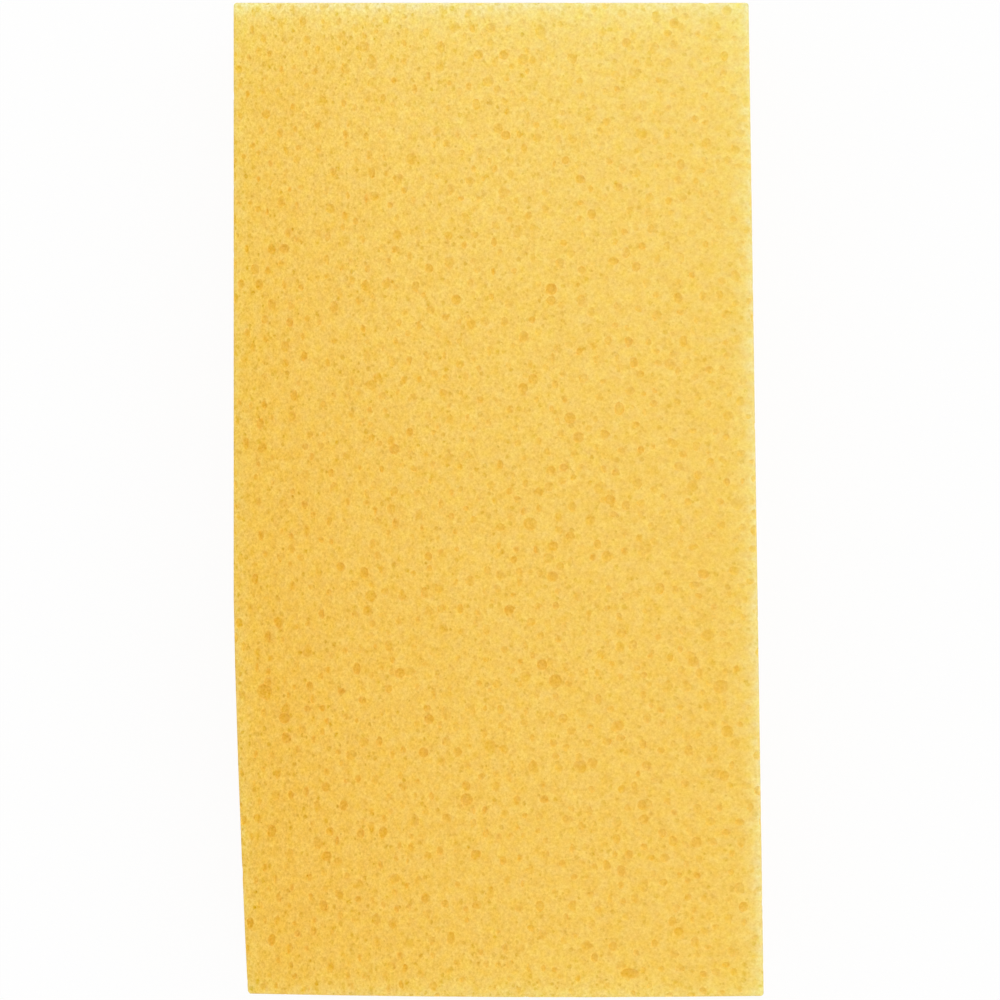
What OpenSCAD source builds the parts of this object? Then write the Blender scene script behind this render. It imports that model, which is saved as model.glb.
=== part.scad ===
// Drywall sanding sponge: one block of open-cell foam, sawn on all six sides.
// The saw left it a little out of square. It also cut open the bubbles of the
// foam, whose round mouths are the pores on every side.
// The block lies on its underside. X is its width, Y its length and Z its
// thickness, with the origin under its middle.

/* [Block] */
// Length of the block, from the crest of the foot end to the head end
length = 224; // [120:1:300]
// Width of the block at its head end
head_width = 116; // [70:1:160]
// Thickness of the block
thickness = 38; // [20:1:60]

/* [Sawn sides] */
// How far the right side runs outwards, from the head end to the foot end
right_drift = 3.4; // [0:0.1:8]
// How far the left side turns inwards before the foot end
left_taper = 3.2; // [0:0.1:8]
// Length of the stretch, up from the foot end, over which it turns inwards
taper_length = 90; // [30:1:110]
// How far the foot end bows outwards, over half of the block's width
foot_bow = 0.55; // [0:0.05:2]
// How far the crest of that bow lies to the right of the middle
bow_offset = 16; // [-25:1:25]
// Radius of the four upright corners
corner_radius = 0.7; // [0.4:0.1:4]
// Radius to which the edges of the top and the underside are worn
edge_radius = 1; // [0.4:0.1:3]

/* [Pores] */
// Width of the narrowest pores that are cut
pore_width = 2.2; // [1.5:0.1:4]
// How quickly wider pores become rare, as the mean width above the narrowest
pore_spread = 0.35; // [0.1:0.05:0.6]
// Width of the widest pores left to chance
pore_limit = 4; // [2.5:0.1:6]
// Spacing of the pores: one to each square of this side
pore_spacing = 21; // [15:0.5:50]
// Thinnest wall of foam between two pores, or between a pore and an edge
pore_wall = 0.6; // [0.3:0.1:2]
// Number from which the chance places and widths are drawn
pore_seed = 7; // [1:1:99]

/* [Hidden] */

// The widest pores of the top face: how far each lies to the right of the
// middle and towards the head end, its width and its length
WIDEST_PORES = [
    [50, -42, 3.8, 3.2], [29.5, -106.5, 4.4, 2.4], [33, -10.5, 3.2, 3.4],
    [47, -30.5, 2.8, 3], [-2, -55.5, 3, 3.2], [43.5, 3, 2.6, 3],
    [30.5, 96, 2.8, 2.8], [-30.5, 102, 2.6, 2.6], [-34.5, 58.5, 2.4, 3.4],
    [20.5, -4.5, 2.6, 2.8]
];

half_width = (head_width + right_drift) / 2;
half_length = length / 2;

// The left side turns in faster towards the foot end, by this power
taper_power = 1.3;
// Pieces that a curved side is drawn with
side_steps = 6;
// Angle between the flats that round a worn edge
edge_step = 30;
// The middle of each bubble lay above the cut, by a share of half the pore's
// width between these two, so that only its shallow bowl is left
least_rise = 0.35;
most_rise = 0.95;
// Chance pores crowd towards the right side, the more the lower this power is
right_lean = 0.8;

// The sides that the saw cut: the direction that each faces, and the turn that
// brings a bubble's pole to the bottom of its bowl
SIDES = [
    ["top", [0, 0, 1], [0, 0, 0]],
    ["underside", [0, 0, -1], [180, 0, 0]],
    ["left", [-1, 0, 0], [0, -90, 0]],
    ["right", [1, 0, 0], [0, 90, 0]],
    ["head", [0, 1, 0], [-90, 0, 0]],
    ["foot", [0, -1, 0], [90, 0, 0]]
];

// The sides: x of the left and right ones at y, and y of the foot end at x
function left_x(y) =
    let (into = (taper_length - y - half_length) / taper_length)
    -half_width + left_taper * pow(max(0, into), taper_power);
function right_x(y) =
    half_width - right_drift * (y + half_length) / length;
function foot_y(x) =
    -half_length + foot_bow * pow((x - bow_offset) / half_width, 2);

// Outline of the block, seen from above
module outline() {
    foot_left = left_x(-half_length);
    foot_width = half_width - foot_left;
    taper = [
        for (i = [0 : side_steps - 1])
            let (y = -half_length + taper_length * (1 - i / side_steps))
            [left_x(y), y]
    ];
    foot = [
        for (i = [0 : side_steps])
            let (x = foot_left + foot_width * i / side_steps)
            [x, foot_y(x)]
    ];
    head = [[half_width - right_drift, half_length], [-half_width, half_length]];
    offset(r = corner_radius, $fn = 16)
        offset(delta = -corner_radius)
            polygon(concat(head, taper, foot));
}

// The block before its pores: the sheet of foam, cut down to the outline, with
// the edges round both faces worn to a radius
module blank() {
    intersection() {
        translate([-half_width - 1, -half_length - 1, 0])
            cube([2 * half_width + 2, length + 2, thickness]);
        hull()
            for (turn = [0 : edge_step : 90]) {
                rise = edge_radius * (1 - sin(turn));
                translate([0, 0, rise])
                    linear_extrude(thickness - 2 * rise)
                        offset(delta = -edge_radius * (1 - cos(turn)))
                            outline();
            }
    }
}

// How far the middle of a pore of that width stays from an edge
function keep_off(width) = max(edge_radius, corner_radius) + pore_wall + width / 2;

// A pore as [middle of its mouth, width, rise of the bubble's middle, side,
// length as a share of its width].
// share is its place between the block's left and right sides, its ends and
// its faces, each from 0 to 1.
function pore(side, share, width, rise) =
    let (
        keep = keep_off(width),
        foot_inner = max(foot_y(-half_width), foot_y(half_width)),
        y = side == "head" ? half_length
            : side == "foot" ? -half_length
            : foot_inner + keep + (half_length - foot_inner - 2 * keep) * share.y,
        x = side == "left" ? left_x(y)
            : side == "right" ? right_x(y)
            : left_x(y) + keep + (right_x(y) - left_x(y) - 2 * keep) * share.x,
        z = side == "top" ? thickness
            : side == "underside" ? 0
            : keep + (thickness - 2 * keep) * share.z
    )
    [[x, side == "foot" ? foot_y(x) : y, z], width, rise, side, 1];

// The pores that chance opens on a side of that area
function chance_pores(side, area, seed) =
    let (
        count = round(area / pow(pore_spacing, 2)),
        draw = rands(0, 1, 5 * count, seed)
    )
    [
        for (i = [0 : 5 : 5 * count - 1])
            let (
                share = [pow(draw[i], right_lean), draw[i + 1], draw[i + 2]],
                extra = -pore_spread * ln(1 - draw[i + 3]),
                width = min(pore_limit, pore_width + extra),
                rise = (least_rise + (most_rise - least_rise) * draw[i + 4]) * width / 2
            )
            pore(side, share, width, rise)
    ];

// The widest pores that lie on the block at its present size
function placed_pores() = [
    for (p = WIDEST_PORES)
        let (
            mouth = [p.x, p.y, thickness],
            rise = most_rise * max(p[2], p[3]) / 2,
            keep = keep_off(max(p[2], p[3]))
        )
        if (abs(p.y) < half_length - keep)
            if (p.x > left_x(p.y) + keep && p.x < right_x(p.y) - keep)
                [mouth, p[2], rise, "top", p[3] / p[2]]
];

// Half of the larger of a pore's width and length
function reach(p) = p[1] / 2 * max(1, p[4]);
function apart(a, b) = norm(a[0] - b[0]) > reach(a) + reach(b) + pore_wall;

// Takes pores one by one, and leaves out each that would break into one that
// is already kept
function sifted(pores, kept, i = 0) =
    i == len(pores) ? kept
    : sifted(
        pores,
        min([for (k = kept) apart(pores[i], k) ? 1 : 0]) == 1
            ? concat(kept, [pores[i]])
            : kept,
        i + 1
    );

// The bubbles whose bowls are the pores
module bubbles() {
    face_area = length * head_width;
    side_area = length * thickness;
    end_area = head_width * thickness;
    chance = concat(
        chance_pores("top", face_area, pore_seed),
        chance_pores("underside", face_area, pore_seed + 1),
        chance_pores("left", side_area, pore_seed + 2),
        chance_pores("right", side_area, pore_seed + 3),
        chance_pores("head", end_area, pore_seed + 4),
        chance_pores("foot", end_area, pore_seed + 5)
    );
    for (p = sifted(chance, placed_pores())) {
        side = [for (s = SIDES) if (s[0] == p[3]) s][0];
        translate(p[0] + p[2] * side[1])
            rotate(side[2])
                scale([1, p[4], 1])
                    sphere(r = norm([p[1] / 2, p[2]]), $fn = 24);
    }
}

module foam_block() {
    color("#f4cb62")
        difference() {
            blank();
            bubbles();
        }
}

foam_block();
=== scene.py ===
import math
import random

import bpy
from mathutils import Matrix, Vector
from mathutils.bvhtree import BVHTree


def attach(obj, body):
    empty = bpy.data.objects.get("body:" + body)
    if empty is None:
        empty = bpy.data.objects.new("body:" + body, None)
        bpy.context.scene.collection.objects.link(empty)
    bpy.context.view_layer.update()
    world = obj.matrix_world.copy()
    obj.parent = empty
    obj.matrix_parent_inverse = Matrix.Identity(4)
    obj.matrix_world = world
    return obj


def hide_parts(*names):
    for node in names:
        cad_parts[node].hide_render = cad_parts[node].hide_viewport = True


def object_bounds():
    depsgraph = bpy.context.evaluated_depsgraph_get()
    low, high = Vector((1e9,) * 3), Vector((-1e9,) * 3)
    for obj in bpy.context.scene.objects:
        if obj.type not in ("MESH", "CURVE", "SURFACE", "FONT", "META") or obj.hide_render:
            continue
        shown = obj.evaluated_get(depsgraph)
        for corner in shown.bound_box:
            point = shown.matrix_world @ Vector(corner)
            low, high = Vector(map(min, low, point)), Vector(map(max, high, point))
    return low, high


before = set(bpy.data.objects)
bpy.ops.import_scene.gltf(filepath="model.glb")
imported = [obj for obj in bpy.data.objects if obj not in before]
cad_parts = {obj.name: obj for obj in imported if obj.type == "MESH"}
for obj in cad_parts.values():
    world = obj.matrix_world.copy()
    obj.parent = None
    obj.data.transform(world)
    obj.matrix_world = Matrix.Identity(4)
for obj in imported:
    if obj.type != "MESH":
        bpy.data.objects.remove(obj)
cad_low, cad_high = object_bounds()


# Camera. It hangs straight above the block on a long lens, so that only the
# working face shows, and that face fills the frame from end to end.
end_margin = 0.00045
side_shift = 0.0003
lens_mm = 100
sensor_mm = 36
nearest_seen = 0.01

bpy.ops.object.select_all(action="DESELECT")
frame_width = cad_high.y - cad_low.y + 2 * end_margin
camera_height = cad_high.z + frame_width * lens_mm / sensor_mm
camera_y = (cad_high.y + cad_low.y) / 2
bpy.ops.object.camera_add(location=(side_shift, camera_y, camera_height))
camera = bpy.context.object
camera.name = "camera"
camera.data.lens = lens_mm
camera.data.sensor_width = sensor_mm
camera.data.clip_start = nearest_seen
bpy.context.scene.camera = camera


# Light. A white sky lights the block evenly from all round, and a weak, broad
# lamp beyond the head end and the right side adds a little.
white = (1, 1, 1, 1)
sky_level = 0.9
lamp_level = 0.1
lamp_height = math.radians(55)
lamp_bearing = math.radians(50)
lamp_spread = math.radians(60)


class Wire:
    """An output socket. Arithmetic on it adds the Math nodes that do it."""

    def __init__(self, nodes, socket):
        self.nodes = nodes
        self.socket = socket

    def output(self, name):
        return Wire(self.nodes, self.socket.node.outputs[name])

    def math(self, operation, *others):
        return self.nodes.math(operation, self, *others)

    def __add__(self, other):
        return self.nodes.math("ADD", self, other)

    def __radd__(self, other):
        return self.nodes.math("ADD", other, self)

    def __sub__(self, other):
        return self.nodes.math("SUBTRACT", self, other)

    def __rsub__(self, other):
        return self.nodes.math("SUBTRACT", other, self)

    def __mul__(self, other):
        return self.nodes.math("MULTIPLY", self, other)

    def __rmul__(self, other):
        return self.nodes.math("MULTIPLY", other, self)


class Nodes:
    """The node tree of a material or of the world, emptied."""

    def __init__(self, owner):
        owner.use_nodes = True
        self.tree = owner.node_tree
        self.tree.nodes.clear()

    def add(self, kind, settings=None, sockets=None, out=0):
        """Adds a node, sets it, fills or links its sockets, and returns one of its outputs."""
        node = self.tree.nodes.new(kind)
        for name, value in (settings or {}).items():
            setattr(node, name, value)
        for name, value in (sockets or {}).items():
            if isinstance(value, Wire):
                self.tree.links.new(value.socket, node.inputs[name])
            else:
                node.inputs[name].default_value = value
        return Wire(self, node.outputs[out]) if node.outputs else node

    def math(self, operation, *values):
        return self.add("ShaderNodeMath", {"operation": operation}, dict(enumerate(values)))

    def seen(self):
        """1 on rays from the camera and on mirrored and refracted ones, which show plain white."""
        ray = self.add("ShaderNodeLightPath", out="Is Camera Ray")
        return ray + ray.output("Is Glossy Ray") + ray.output("Is Transmission Ray")


scene = bpy.context.scene
scene.view_settings.view_transform = "Standard"
scene.world = bpy.data.worlds.new("sky")
sky = Nodes(scene.world)
sky_lit = sky.add("ShaderNodeBackground", sockets={"Color": white, "Strength": sky_level})
sky_white = sky.add("ShaderNodeBackground", sockets={"Color": white, "Strength": 1})
sky_mix = sky.add("ShaderNodeMixShader", sockets={0: sky.seen(), 1: sky_lit, 2: sky_white})
sky.add("ShaderNodeOutputWorld", sockets={"Surface": sky_mix})

bpy.ops.object.select_all(action="DESELECT")
lamp_tilt = math.pi / 2 - lamp_height
bpy.ops.object.light_add(type="SUN", rotation=(0, lamp_tilt, lamp_bearing))
lamp = bpy.context.object
lamp.name = "lamp"
lamp.data.energy = lamp_level * math.pi / math.sin(lamp_height)
lamp.data.angle = lamp_spread


# Floor. A wide matt white sheet of paper. It glows almost white wherever it is
# seen, and keeps a trace of the block's shadow.
floor_size = 4
floor_gap = 0.0001
floor_tone = (0.9, 0.9, 0.9, 1)
floor_glow = 0.93

bpy.ops.object.select_all(action="DESELECT")
bpy.ops.mesh.primitive_plane_add(size=floor_size, location=(0, 0, cad_low.z - floor_gap))
floor = bpy.context.object
floor.name = "floor"
bpy.ops.object.transform_apply(location=True, rotation=True, scale=True)
floor_paper = bpy.data.materials.new("floor_paper")
paper = Nodes(floor_paper)
paper_lit = paper.add("ShaderNodeBsdfDiffuse", sockets={"Color": floor_tone})
paper_white = paper.add("ShaderNodeEmission", sockets={"Color": white, "Strength": 1})
paper_glow = paper.seen() * floor_glow
paper_mix = paper.add("ShaderNodeMixShader", sockets={0: paper_glow, 1: paper_lit, 2: paper_white})
paper.add("ShaderNodeOutputMaterial", sockets={"Surface": paper_mix})
floor.data.materials.append(floor_paper)


# Foam block. One piece of yellow open-cell foam, sawn on all six sides. The
# saw cut bubbles of all sizes open. The solid has the widest of them, and the
# rest, down to about a millimetre, are cut here, in a copy of it.
merge_reach = 1e-6
solid_detail = 0.3
smooth_angle = math.radians(40)

# Bubbles: how many are tried on a square metre of side, how wide their mouths
# are, and the wall that is left between two
bubble_seed = 11
bubble_density = 136000
bubble_least = 0.0013
bubble_most = 0.0024
bubble_mean_excess = 0.0007
bubble_wall = 0.00005
# How far above the cut their middles lay, in halves of the mouth's width
bubble_rise = (0.75, 1.5)
# How uneven and how oval they are by chance, and how much more oval and how
# much narrower towards the left side, as shares of their width
bubble_uneven = 0.09
bubble_oval = 0.16
left_oval = 0.22
left_shrink = 0.15
# The round one that all are copied from, and how much it is swollen, because
# its few flat faces lie inside the sphere
bubble_sides = 6
bubble_rings = 5
bubble_swell = 1.08
# How squarely the foam has to face a side for that side's bubbles to open it
least_facing = 0.7

bpy.ops.object.select_all(action="DESELECT")
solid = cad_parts["foam_block"]
foam = bpy.data.objects.new("foam", solid.data.copy())
scene.collection.objects.link(foam)
foam.data.materials.clear()
bpy.context.view_layer.objects.active = foam
foam.select_set(True)
bpy.ops.object.mode_set(mode="EDIT")
bpy.ops.mesh.select_all(action="SELECT")
bpy.ops.mesh.remove_doubles(threshold=merge_reach)
bpy.ops.object.mode_set(mode="OBJECT")
bpy.ops.mesh.customdata_custom_splitnormals_clear()

# The block as it was sawn, before the bubbles, tells where a mouth lies and how
# deep a bowl is.
bpy.ops.object.duplicate()
blank = bpy.context.object
bpy.ops.object.mode_set(mode="EDIT")
bpy.ops.mesh.select_all(action="SELECT")
bpy.ops.mesh.convex_hull(use_existing_faces=False)
bpy.ops.object.mode_set(mode="OBJECT")
sawn = BVHTree.FromObject(blank, bpy.context.evaluated_depsgraph_get())
bpy.data.objects.remove(blank)
bpy.context.view_layer.objects.active = foam
foam.select_set(True)


def finish_with(kind, **settings):
    """Adds a modifier to the foam and applies it."""
    modifier = foam.modifiers.new(kind.lower(), kind)
    for name, value in settings.items():
        setattr(modifier, name, value)
    bpy.ops.object.modifier_apply(modifier=modifier.name)


finish_with("DECIMATE", ratio=solid_detail)

# One round bubble. The ring just below its middle is turned by half a step, so
# that the cut doesn't leave every mouth with six corners.
bpy.ops.object.select_all(action="DESELECT")
bpy.ops.mesh.primitive_uv_sphere_add(segments=bubble_sides, ring_count=bubble_rings, radius=1)
bubble = bpy.context.object
half_step = Matrix.Rotation(math.pi / bubble_sides, 3, "Z")
for corner in bubble.data.vertices:
    if -0.5 < corner.co.z < 0:
        corner.co = half_step @ corner.co
bpy.ops.object.mode_set(mode="EDIT")
bpy.ops.mesh.select_all(action="SELECT")
bpy.ops.mesh.quads_convert_to_tris(quad_method="SHORTEST_DIAGONAL")
bpy.ops.object.mode_set(mode="OBJECT")
bubble_corners = [corner.co.copy() for corner in bubble.data.vertices]
bubble_faces = [tuple(face.vertices) for face in bubble.data.polygons]
bpy.data.objects.remove(bubble)

# Copies of it are laid along all six sides by chance, each clear of the ones
# before, because a boolean leaves flaws where two of them meet. Those already
# placed are kept by the cells of a grid, each wider than two bubbles can reach.
chance = random.Random(bubble_seed)
bubble_cell = 3 * bubble_most
placed = {}


def crowded(mouth, reach):
    """True where a bowl of that half width would break into one already placed."""
    home = [math.floor(c / bubble_cell) for c in mouth]
    for step in range(27):
        key = (home[0] + step % 3 - 1, home[1] + step // 3 % 3 - 1, home[2] + step // 9 - 1)
        for other, other_reach in placed.get(key, ()):
            if (mouth - other).length < reach + other_reach + bubble_wall:
                return True
    placed.setdefault(tuple(home), []).append((mouth, reach))
    return False


def bubbles_on(side, along):
    """Yields the middle and the form of each bubble on the side that faces that way.

    along is a direction that lies in that side."""
    across = along.cross(side)
    span = cad_high - cad_low
    middle = (cad_low + cad_high) / 2
    length, width, reach = (abs(axis.dot(span)) for axis in (along, across, side))
    for _ in range(round(bubble_density * length * width)):
        start = middle + side * reach
        start += along * length * (chance.random() - 0.5)
        start += across * width * (chance.random() - 0.5)
        excess = chance.expovariate(1 / bubble_mean_excess)
        rise = chance.uniform(*bubble_rise)
        oval = chance.uniform(-1, 1) * bubble_oval
        spin = chance.uniform(0, math.pi)
        mouth, normal, _, _ = sawn.ray_cast(start, -side)
        if mouth is None or normal.dot(side) < least_facing:
            continue
        leftness = (cad_high.x - mouth.x) / span.x
        half = (bubble_least + excess) / 2 * (1 - left_shrink * leftness)
        oval += left_oval * leftness
        radius = half * math.hypot(1, rise) * bubble_swell
        widest = math.sqrt((radius * (1 + bubble_uneven)) ** 2 - (rise * half) ** 2)
        if 2 * half > bubble_most or crowded(mouth, widest * (1 + abs(oval))):
            continue
        basis = Matrix((across, along, side)).transposed()
        stretch = Matrix.Diagonal((radius / (1 + oval), radius * (1 + oval), radius))
        yield mouth + side * rise * half, basis @ stretch @ Matrix.Rotation(spin, 3, "Z")


X, Y, Z = Vector((1, 0, 0)), Vector((0, 1, 0)), Vector((0, 0, 1))
corners = []
faces = []
for side, along in ((Z, Y), (-Z, Y), (X, Y), (-X, Y), (Y, X), (-Y, X)):
    for place, form in bubbles_on(side, along):
        first = len(corners)
        for corner in bubble_corners:
            corners.append(place + form @ corner * (1 + chance.uniform(-1, 1) * bubble_uneven))
        faces.extend(tuple(first + i for i in face) for face in bubble_faces)
bubbles_mesh = bpy.data.meshes.new("bubbles")
bubbles_mesh.from_pydata(corners, [], faces)
bubbles = bpy.data.objects.new("bubbles", bubbles_mesh)
scene.collection.objects.link(bubbles)

bpy.context.view_layer.objects.active = foam
foam.select_set(True)
finish_with("BOOLEAN", operation="DIFFERENCE", solver="MANIFOLD", object=bubbles)
finish_with("TRIANGULATE", ngon_method="BEAUTY", quad_method="BEAUTY")
bpy.data.objects.remove(bubbles)
foam.data.materials.clear()
foam.data.polygons.foreach_set("material_index", [0] * len(foam.data.polygons))
bpy.ops.object.shade_smooth_by_angle(angle=smooth_angle)

# How deep each point lies below the sawn block, by which the finish paints shade into the bowls
bowl_depths = foam.data.attributes.new("bowl_depth", "FLOAT", "POINT")
bowl_depths.data.foreach_set("value", [sawn.find_nearest(v.co)[3] for v in foam.data.vertices])


# Foam finish. Torn cells of all sizes cover it, with the round mouths of small
# bubbles among them. Scales are cells in a metre, and reaches are metres.
def linear(red, green, blue):
    """A display colour, 0 to 255 a channel, as the scene-linear colour that a node takes."""
    shares = [c / 255 for c in (red, green, blue)]
    return [*(s / 12.92 if s <= 0.04045 else ((s + 0.055) / 1.055) ** 2.4 for s in shares), 1]


# Mouths: their radii as shares of a cell, from the least to the most, and how
# deep they look, from the faintest to the deepest. They are painted shade in
# pores too small to cut, and the wide ones also dent the relief
wide_mouth_scale = 640.0
wide_mouth_radii = (0.08, 0.53)
small_mouth_scale = 1250.0
small_mouth_radii = (-0.1, 0.46)
least_radius = 0.001
mouth_depths = (0.3, 1.2)
# The share of its radius at which a mouth's painted shade is at its deepest
mouth_floor = 0.5
# Grain and cells, which are warped, turned and squeezed towards the left
grain_scale = 1500.0
grain_roughness = 0.9
cell_scale = 450.0
cell_mottle = 0.4
warp_scale = 1500.0
warp_reach = 0.0005
squeeze = 1.1
left_squeeze = 1.6
grain_turn = (0.6, 0.45, 0.35)
# Bowls: how deep they are where their painted shade starts and where it is full
bowl_shallow = 0.0
bowl_deep = 0.0004
bowl_rough = 0.00025
# How much of the small mouths the painted shade of a bowl hides
bowl_hides = 0.7
# The foam's colours, from its deepest to its palest, from which its mottle and the painted light
# and shade on it are picked
tones = [
    (0.0, linear(231.5, 169, 52)),
    (0.25, linear(238.5, 183, 69)),
    (0.5, linear(243.5, 196, 86)),
    (0.75, linear(247.5, 209, 105)),
    (1.0, linear(250.5, 222, 126)),
]
# Where among them the foam lies: at its middle, then by the metre towards the
# right and the head end, and by the square of both. This drift is painted light,
# paler towards the lamp beyond the head end and the right side, and deeper away from it
tone_middle = 0.62
painted_light_to_right = 1.65
painted_light_to_head = 1.08
side_fall = 18.0
end_rise = 5.0
# How much paler painted light makes it near the edges of both faces, most at
# the head end, beside the lamp
end_reach = 0.0055
rim_reach = 0.0045
head_painted_light = 0.225
foot_painted_light = 0.06
right_painted_light = 0.07
# How much of red, green and blue the grain and the rest take or give
grain_tint = (0.27, 0.46, 0.97)
mouth_shade_tint = (0.076, 0.117, 0.29)
bowl_shade_tint = (0.062, 0.094, 0.3)
hue_tint = (-0.015, 0.0, 0.68)
rim_tint = (-0.015, 0.03, -0.11)
small_mouth_shade = 0.18
wide_mouth_shade = 1.05
bowl_shade_dark = 0.8
contrast_middle = 1.18
contrast_to_right = -6.0
contrast_to_head = -1.0
# The pale broken line along the sawn edges, a painted highlight that is
# strongest at the head end and the right side, towards the lamp, and how strong
# it and the rim's tint are at each end and side
edge_highlight_tone = linear(249, 234, 178)
edge_reach = 0.0016
edge_breaks = 1.6
head_edge, head_rim = 0.95, 0.8
foot_edge, foot_rim = 0.35, 1.1
left_edge, left_rim = 0.22, 1.2
right_edge, right_rim = 0.75, 1.0
taper_length = 0.09
corner_strip = 0.005
# Relief, gloss and the light that soaks in
grain_height = 0.06
mouth_height = 0.06
relief_depth = 0.001
dullness = 0.9
gloss = 0.15
soak = 0.5
soak_reach = 0.0006
soak_colours = (1.0, 0.7, 0.4)

yellow_foam = bpy.data.materials.new("yellow_foam")
skin = Nodes(yellow_foam)
spot = skin.add("ShaderNodeTexCoord", out="Object")
axes = skin.add("ShaderNodeSeparateXYZ", sockets={0: spot})
x, y, z = (axes.output(name) for name in "XYZ")


def vector_math(operation, *values):
    return skin.add("ShaderNodeVectorMath", {"operation": operation}, dict(enumerate(values)))


def ramp(value, start, end):
    """A smooth step from 0 at start to 1 at end."""
    return skin.add(
        "ShaderNodeMapRange",
        {"interpolation_type": "SMOOTHSTEP"},
        {"Value": value, "From Min": start, "From Max": end},
    )


def noise(scale, detail=1.0, roughness=0.5):
    """Smooth noise on the turned coordinates, from 0 to 1."""
    sockets = {"Vector": turned, "Scale": scale, "Detail": detail, "Roughness": roughness}
    return skin.add("ShaderNodeTexNoise", sockets=sockets)


def mouths(scale, least, most):
    """Round mouths, one to a cell, with radii and depths of painted shade that chance draws."""
    cell = skin.add("ShaderNodeTexVoronoi", sockets={"Vector": warped, "Scale": scale})
    lot = skin.add("ShaderNodeSeparateColor", sockets={0: cell.output("Color")})
    radius = (lot * (most - least) + least).math("MAXIMUM", least_radius)
    faint, deep = mouth_depths
    return ramp(cell, radius, radius * mouth_floor) * (lot.output("Green") * (deep - faint) + faint)


def near(distance, strength=1.0, reach=edge_reach):
    """The strength at no distance, which falls by e over each reach."""
    return skin.math("POWER", math.e, distance * (-1 / reach)) * strength


squeezed_x = x * (squeeze - x * left_squeeze)
squeezed = skin.add("ShaderNodeCombineXYZ", sockets={0: squeezed_x, 1: y, 2: z})
turned = skin.add("ShaderNodeMapping", sockets={0: squeezed, "Rotation": grain_turn})
warp = noise(warp_scale, detail=2.0).output("Color")
warped = vector_math("MULTIPLY_ADD", warp, (warp_reach,) * 3, turned)
grain = noise(grain_scale, roughness=grain_roughness) - 0.5
cell_noise = noise(cell_scale)
cell_hue = skin.add("ShaderNodeSeparateColor", sockets={0: cell_noise.output("Color")}, out="Green")
cells = cell_noise - 0.5
hue = cell_hue - 0.5
depth = skin.add("ShaderNodeAttribute", {"attribute_name": "bowl_depth"}, out="Fac")
# Painted shade in the bowls, fuller as they are deeper
bowl_shade = ramp(depth + grain * bowl_rough, bowl_shallow, bowl_deep)
# Painted shade in mouths too small to cut; the wide ones also dent the relief
wide_mouths = mouths(wide_mouth_scale, *wide_mouth_radii) * (1 - bowl_shade)
small_mouths = mouths(small_mouth_scale, *small_mouth_radii) * (1 - bowl_shade * bowl_hides)

# Distances from the ends and sides. The right side leans in towards the head
# end, and the left one over the taper before the foot end.
foam_corners = [v.co for v in foam.data.vertices]
left_in = min(co.x for co in foam_corners if co.y < cad_low.y + corner_strip) - cad_low.x
right_in = cad_high.x - max(co.x for co in foam_corners if co.y > cad_high.y - corner_strip)
from_head = cad_high.y - y
from_foot = y - cad_low.y
from_right = cad_high.x - x - from_foot * (right_in / (cad_high.y - cad_low.y))
into_taper = (taper_length - from_foot).math("MAXIMUM", 0.0)
from_left = x - cad_low.x - into_taper * (left_in / taper_length)

# Tone: deeper towards the left corner of the foot end, and paler towards the
# right corner of the head end and near the edges of both faces. Apart from the
# mottle of the cells, this is painted light and shade, paler on the lamp's side.
tone = tone_middle + x * painted_light_to_right + y * painted_light_to_head + cells * cell_mottle
tone = tone - x * x * side_fall + y * y * end_rise
margin = near(cad_high.z - z, 1.0, rim_reach) + near(z - cad_low.z, 1.0, rim_reach)
# Painted light along the edges of both faces, most at the head end
painted_end_light = near(from_head, head_painted_light, end_reach) + near(from_foot, foot_painted_light, end_reach)
tone = tone + (painted_end_light + near(from_right, right_painted_light, rim_reach)) * margin
foam_tone = skin.add("ShaderNodeValToRGB", sockets={0: tone})
stops = foam_tone.socket.node.color_ramp.elements
stops[0].position, stops[0].color = tones[0]
stops[1].position, stops[1].color = tones[-1]
for position, stop_tone in tones[1:-1]:
    stops.new(position).color = stop_tone

# Edges: a painted highlight makes the foam pale where two sides that meet are
# both near.
near_faces = near(cad_high.z - z) + near(z - cad_low.z)
near_ends = near(from_head, head_edge) + near(from_foot, foot_edge)
near_sides = near(from_right, right_edge) + near(from_left, left_edge)
edge_highlight = near_faces * near_ends + near_faces * near_sides + near_ends * near_sides
edge_highlight = edge_highlight * (cells * edge_breaks + 1)
tone_with_highlight = skin.add(
    "ShaderNodeMix", {"data_type": "RGBA"}, {"Factor": edge_highlight, 6: foam_tone, 7: edge_highlight_tone}, out=2
)

# Shade: what grain, mouths, bowls and rims make of the tone, with painted
# shade in the mouths and the bowls. It is strongest at the left.
rim = near(from_head, head_rim, rim_reach) + near(from_foot, foot_rim, rim_reach)
rim = rim + near(from_left, left_rim, rim_reach) + near(from_right, right_rim, rim_reach)
contrast = x * contrast_to_right + y * contrast_to_head + contrast_middle
shade = (1.0, 1.0, 1.0)
for tint, amount in (
    (grain_tint, (grain - small_mouths * small_mouth_shade) * contrast),
    (mouth_shade_tint, wide_mouths * contrast * -wide_mouth_shade),
    (hue_tint, hue),
    (bowl_shade_tint, bowl_shade * contrast * -bowl_shade_dark),
    (rim_tint, rim * margin),
):
    shade = vector_math("MULTIPLY_ADD", tint, amount, shade)
colour = vector_math("MULTIPLY", tone_with_highlight, shade)

height = grain * grain_height - wide_mouths * mouth_height
relief = skin.add(
    "ShaderNodeBump", sockets={"Height": height, "Distance": relief_depth, "Strength": 1.0}
)
surface = skin.add(
    "ShaderNodeBsdfPrincipled",
    {"subsurface_method": "BURLEY"},
    {
        "Base Color": colour,
        "Roughness": dullness,
        "Specular IOR Level": gloss,
        "Subsurface Weight": soak,
        "Subsurface Radius": soak_colours,
        "Subsurface Scale": soak_reach,
        "Normal": relief,
    },
)
skin.add("ShaderNodeOutputMaterial", sockets={"Surface": surface})
foam.data.materials.append(yellow_foam)

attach(foam, "root")
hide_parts("foam_block")
